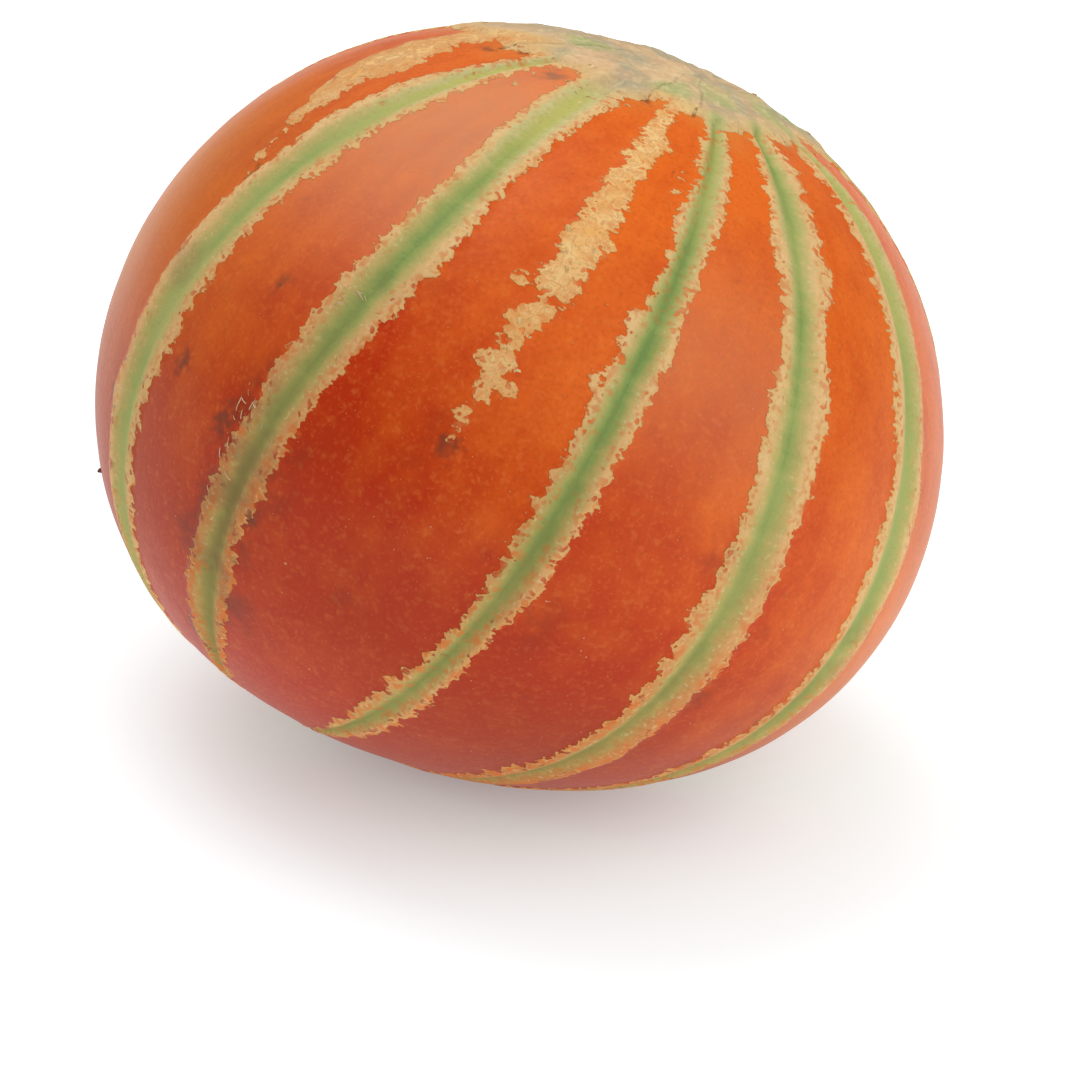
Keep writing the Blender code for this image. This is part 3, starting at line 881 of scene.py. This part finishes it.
class RindFinish(Finish):
    """Orange-red skin, green seams with corky edges, cream streaks and the corky crown."""

    def __init__(self):
        super().__init__("rind")
        self.inside = self.field("inside")
        self.crease = self.field("crease")
        self.crown = self.field("crown")
        self.blotch = self.field("blotch")
        self.low = self.field("low")
        self.fine = self.grain(0.00065, 1.0)
        self.medium = self.grain(0.0014, 1.0)
        self.mottle = self.grain(0.0045, 2.0)
        self.flecks = self.step(0.62, 0.74, self.fine)
        self.curls = self.step(0.040, 0.012, abs(self.medium - 0.47))
        marks = self.field("mark") + (self.mottle - 0.5) * 1.2 + (self.medium - 0.5) * 1.2
        self.dried = self.step(0.30, 1.10, marks)
        self.smudge = self.field("smudge") * self.step(0.35, 0.60, self.mottle)
        # Painted sheen: a mottled pale highlight painted on two ribs
        self.painted_sheen = self.field("painted_sheen") * (0.55 + self.mottle * 0.5 + self.fine * 0.35)
        self.tear_edge()

    def tear_edge(self):
        """Short barbs along the cork's torn edge, finer than the mesh carries, and pits beside it."""
        sideways = self.field("sideways") * 0.45
        parts = {"X": self.field("along"), "Y": sideways, "Z": self.inside * 0.1}
        on_line = self.add("ShaderNodeCombineXYZ", {}, parts)
        self.barbs = self.grain(1.9, 2.0, place=on_line)
        self.depth = self.inside + (self.barbs - 0.5) * 5.0 + (self.fine - 0.5) * 1.3
        pits = self.step(0.60, 0.66, self.medium) * self.step(2.6, 0.4, self.depth)
        self.cork = self.step(-0.10, 0.16, self.depth) * (1 - pits * 0.85)
        ragged = (self.barbs - 0.5) * 0.44 + (self.fine - 0.5) * 0.18
        self.profile = abs(self.field("across")) + ragged

    def skin(self):
        """Orange to red skin with a fine grain, paler by the crown, smudges and dried marks; painted rim
        light on the flanks, painted shade low down and a painted sheen on two ribs.
        """
        patches = self.grain(0.011, 3.0, seed=0.4)
        ripeness = self.field("ripeness") + (self.mottle - 0.5) * 0.55 + (patches - 0.5) * 0.75
        return self.coat(
            self.mix(ripeness, ORANGE, RED),
            (self.step(0.52, 0.80, self.fine) * 0.24, DARK_GRAIN),
            (self.step(0.44, 0.26, self.fine) * 0.14, PALE_GRAIN),
            (self.step(0.46, 0.24, self.medium) * 0.24, ORANGE_GRAIN),
            # Painted rim light: paler skin on the flanks either side of the front
            (self.field("painted_rim_light") * 0.75, PAINTED_RIM_LIGHT_COLOUR),
            # Painted shade: darker, browner skin low down, stronger on one side
            (self.field("shade") * 0.72, SHADED_SKIN),
            (self.field("bleach") * 0.6, BLEACHED_SKIN),
            (self.smudge * 0.6, SMUDGED_SKIN),
            (self.dried * 0.8, DRIED_SKIN),
            (self.step(0.75, 0.80, self.fine) * 0.5, PALE_DOTS),
            # Painted sheen: a pale highlight painted on two ribs
            (self.painted_sheen * 0.50, PAINTED_SHEEN_COLOUR),
        )

    def seams(self):
        """A narrow darker line, a sage green middle, pale flanks, and tan by the torn edge."""
        vigour, head = self.field("vigour"), self.field("head")
        browned = self.low * 0.9
        deep = self.mix(vigour, WEAK_GREEN, SAGE_GREEN)
        deep = self.coat(deep, (head * 0.75, HEAD_GREEN), (browned, LOW_GREEN))
        flank = self.mix(head, SEAM_FLANK, HEAD_FLANK)
        grainy = self.step(0.35, 0.65, self.medium) * 0.4
        flank = self.coat(flank, (browned, LOW_FLANK), (grainy, FLANK_GRAIN))
        tan = self.mix(self.mottle, TAN, LIGHT_TAN)
        tan = self.mix(browned, tan, self.mix(self.mottle, LOW_TAN, LOW_LIGHT_TAN))
        line = self.step(self.crease * 0.7, self.crease * 0.1, self.profile) * (vigour * 0.40)
        line = line * (1 - head * 0.8) * (1 - self.low * 0.5)
        return self.coat(
            self.mix(self.step(self.crease * 0.5, self.crease + 0.36, self.profile), deep, flank),
            (line, self.mix(self.low, CREASE_GREEN, CREASE_BROWN)),
            (self.step(self.crease + 0.26, self.crease + 0.62, self.profile), tan),
            (self.step(0.15, 0.7, self.profile) * self.low * 0.35, LOW_EDGE),
        )

    def cream(self):
        """Cream cork with fine dark flecks and curls, browner where it is worn."""
        return self.coat(
            self.mix(self.step(0.3, 0.7, self.mottle), CREAM, LIGHT_CREAM),
            (self.flecks * 0.25, CREAM_FLECKS),
            (self.curls * 0.45, CREAM_CURLS),
            (self.field("worn") * self.step(0.3, 0.6, self.medium), WORN_CREAM),
        )

    def lines(self):
        """The seams and streaks, with the grain that they share and skin showing where they are thin."""
        beside_crease = self.step(self.crease * 0.8, self.crease + 0.3, self.profile)
        thin = self.step(0.47, 0.33, self.medium - self.low * 0.05) * self.step(3.4, 0.5, self.depth)
        return self.coat(
            self.mix(self.field("green"), self.cream(), self.seams()),
            (self.step(0.56, 0.74, self.fine) * 0.16, CORK_GRAIN),
            (self.step(0.42, 0.28, self.fine) * beside_crease * 0.30, CORK_PALE_GRAIN),
            (self.step(0.8, 0.1, self.depth) * 0.5, CORK_EDGE),
            (thin * (0.5 + self.low * 0.25), THIN_CORK),
            (self.smudge * 0.45, SMUDGED_CORK),
        )

    def crown_cork(self):
        """Blotched tan and grey cork, with blurred green patches and dark dried marks."""
        return self.coat(
            self.mix(self.blotch, GREY_CORK, TAN_CORK),
            (self.step(0.36, 0.62, self.mottle) * 0.5, PINKISH_CORK),
            ((1 - self.crown) * 0.85, CROWN_EDGE_CORK),
            (self.step(0.20, 0.90, self.field("moss")) * 0.8, CROWN_GREEN),
            (self.step(0.52, 0.70, self.medium) * 0.34, CROWN_PALE_GRAIN),
            (self.step(0.44, 0.28, self.medium) * 0.22, CROWN_DARK_GRAIN),
            (self.curls * 0.10, CROWN_CURLS),
            (self.dried * 0.6, CROWN_DRIED),
            (self.flecks * 0.22, CROWN_FLECKS),
        )

    def material_with_relief(self):
        """The whole finish: cork is drier than skin, and stands out from it."""
        corky = self.coat(
            self.lines(),
            (self.crown, self.crown_cork()),
            (self.field("scar"), self.mix(self.blotch, SCAR_BROWN, SCAR_TAN)),
        )
        colour = self.mix(self.cork, self.skin(), corky)
        roughness = self.blend(self.cork, 0.40, 0.74) + (self.fine - 0.5) * 0.10 + self.painted_sheen * 0.2
        height = self.cork * (0.05 + self.fine * 0.11 + self.barbs * 0.08) + self.medium * 0.05
        return self.dress(colour, roughness, height, Specular_IOR_Level=0.40, IOR=1.28)


def scrap_finish(name, light, dark, size):
    """A dry plant finish in two tones, for the loose bits."""
    finish = Finish(name)
    tone = finish.grain(size, 3.0)
    fine = finish.grain(size / 5, 1.0)
    colour = finish.mix(finish.step(0.35, 0.65, tone), dark, light)
    colour = finish.mix(finish.step(0.60, 0.75, fine) * 0.4, colour, dark)
    roughness = 0.65 + (tone - 0.5) * 0.3
    return finish.dress(colour, roughness, fine * 0.05 + tone * 0.05, Specular_IOR_Level=0.35)


def floor_finish():
    """A pale floor that glows with painted light, white away from the fruit; near the fruit the glow
    fades as a painted shadow.
    """
    finish = Finish("pale_floor")
    shader = finish.shader.inputs
    shader["Base Color"].default_value = rgb(194, 207, 211)
    shader["Roughness"].default_value = 0.85
    distance = finish.add("ShaderNodeVectorMath", {"operation": "LENGTH"}, {0: finish.place}, 1)
    # Painted shadow: no glow at the fruit, full glow a few centimetres out, dimmer far away
    share = finish.step(*PAINTED_SHADOW_EDGE, distance) * 0.84 + finish.step(*PAINTED_SHADOW_FADE, distance) * 0.16
    share = share * (1 - finish.step(*PAINTED_LIGHT_FADE, distance) * 0.8)
    painted_glow = finish.mix(share, (0, 0, 0, 1), (1, 1, 1, 1))
    finish.feed(shader["Emission Color"], painted_glow)
    shader["Emission Strength"].default_value = FLOOR_PAINTED_LIGHT
    return finish.material


# Stage, camera and light

CAMERA_ELEVATION = math.radians(24.0)
CAMERA_ROLL = math.radians(6.0)
CAMERA_DISTANCE = 0.80
FRAME_PIXELS = 1080
FOCAL_PIXELS = 5278.0
MIDDLE_AT_PIXEL = (523.4, 406.1)
SENSOR_WIDTH_MM = 36.0
FLOOR_SIZE = 12.0
# Painted light on the floor: its strength, and where its painted shadow and far fade lie, in metres
FLOOR_PAINTED_LIGHT = 0.81
PAINTED_SHADOW_EDGE = (-0.03, 0.080)
PAINTED_SHADOW_FADE = (0.10, 0.35)
PAINTED_LIGHT_FADE = (0.7, 2.2)


def view_directions():
    """Right, up and back of the camera in the world."""
    back = Vector((0, -math.cos(CAMERA_ELEVATION), math.sin(CAMERA_ELEVATION)))
    across = Vector((1, 0, 0))
    up = back.cross(across)
    right = across * math.cos(CAMERA_ROLL) + up * math.sin(CAMERA_ROLL)
    return right, back.cross(right), back


def make_camera():
    """A camera that sees the body's middle at its own pixel of the frame."""
    right, up, back = view_directions()
    data = bpy.data.cameras.new("camera")
    data.sensor_width = SENSOR_WIDTH_MM
    data.lens = FOCAL_PIXELS / FRAME_PIXELS * SENSOR_WIDTH_MM
    data.clip_start = 0.05
    data.clip_end = 30
    camera = bpy.data.objects.new("camera", data)
    bpy.context.scene.collection.objects.link(camera)
    centre = FRAME_PIXELS / 2
    seen = Vector((MIDDLE_AT_PIXEL[0] - centre, centre - MIDDLE_AT_PIXEL[1], -FOCAL_PIXELS)).normalized()
    turn = seen.rotation_difference(Vector((0, 0, -1))).to_matrix()
    axes = Matrix((right, up, back)).transposed() @ turn
    eye = Vector(BODY_MIDDLE) + back * CAMERA_DISTANCE
    camera.matrix_world = Matrix.Translation(eye) @ axes.to_4x4()
    bpy.context.scene.camera = camera


def add_panel(name, direction, distance, size, radiance):
    """A square softbox facing the fruit, given by how bright it looks."""
    data = bpy.data.lights.new(name, "AREA")
    data.shape = "SQUARE"
    data.size = size
    data.energy = radiance * math.pi * size**2
    panel = bpy.data.objects.new(name, data)
    bpy.context.scene.collection.objects.link(panel)
    direction = Vector(direction).normalized()
    panel.location = Vector(BODY_MIDDLE) + direction * distance
    panel.rotation_euler = direction.to_track_quat("Z", "Y").to_euler()


def light_stage():
    """Three softboxes, overhead, beside and in front, and a dim room, dimmer behind the camera."""
    add_panel("overhead_panel", (-0.30, 0.30, 0.90), distance=1.3, size=1.0, radiance=3.4)
    add_panel("side_panel", (0.72, -0.45, 0.50), distance=1.2, size=1.5, radiance=0.85)
    add_panel("front_panel", (0.15, -0.62, 0.77), distance=1.3, size=1.6, radiance=0.5)
    world = bpy.data.worlds.new("studio")
    bpy.context.scene.world = world
    world.use_nodes = True
    nodes, links = world.node_tree.nodes, world.node_tree.links
    direction = nodes.new("ShaderNodeTexCoord").outputs["Generated"]
    towards = nodes.new("ShaderNodeVectorMath")
    towards.operation = "DOT_PRODUCT"
    towards.inputs[1].default_value = view_directions()[2]
    links.new(direction, towards.inputs[0])
    shade = nodes.new("ShaderNodeMapRange")
    shade.interpolation_type = "SMOOTHSTEP"
    for name, value in {"From Min": 0.2, "From Max": 0.95, "To Min": 0.2, "To Max": 0.05}.items():
        shade.inputs[name].default_value = value
    links.new(towards.outputs["Value"], shade.inputs["Value"])
    links.new(shade.outputs["Result"], nodes["Background"].inputs["Strength"])
    nodes["Background"].inputs["Color"].default_value = (1, 1, 1, 1)
    bpy.context.scene.view_settings.view_transform = "Standard"


def make_floor():
    deselect_all()
    bpy.ops.mesh.primitive_plane_add(size=FLOOR_SIZE, location=(0, 0, 0))
    floor = bpy.context.active_object
    floor.name = "pale_floor"
    floor.data.materials.append(floor_finish())


def dress_piece(piece, finish):
    """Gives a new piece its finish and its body."""
    piece.data.materials.clear()
    piece.data.materials.append(finish)
    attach(piece, "root")


make_camera()
light_stage()
make_floor()
rind = make_skin()
fit_inside(rind, *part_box("muskmelon"))
dress_piece(rind, RindFinish().material_with_relief())
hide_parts("muskmelon")
dress_piece(make_hairs(rind), scrap_finish("dry_hair", rgb(234, 208, 172), rgb(200, 156, 112), 0.002))
dress_piece(make_scraps(rind), scrap_finish("cork_scrap", rgb(238, 206, 144), rgb(200, 156, 98), 0.001))
dress_piece(make_stub(rind), scrap_finish("dried_tendril", rgb(150, 100, 74), rgb(88, 56, 44), 0.0006))
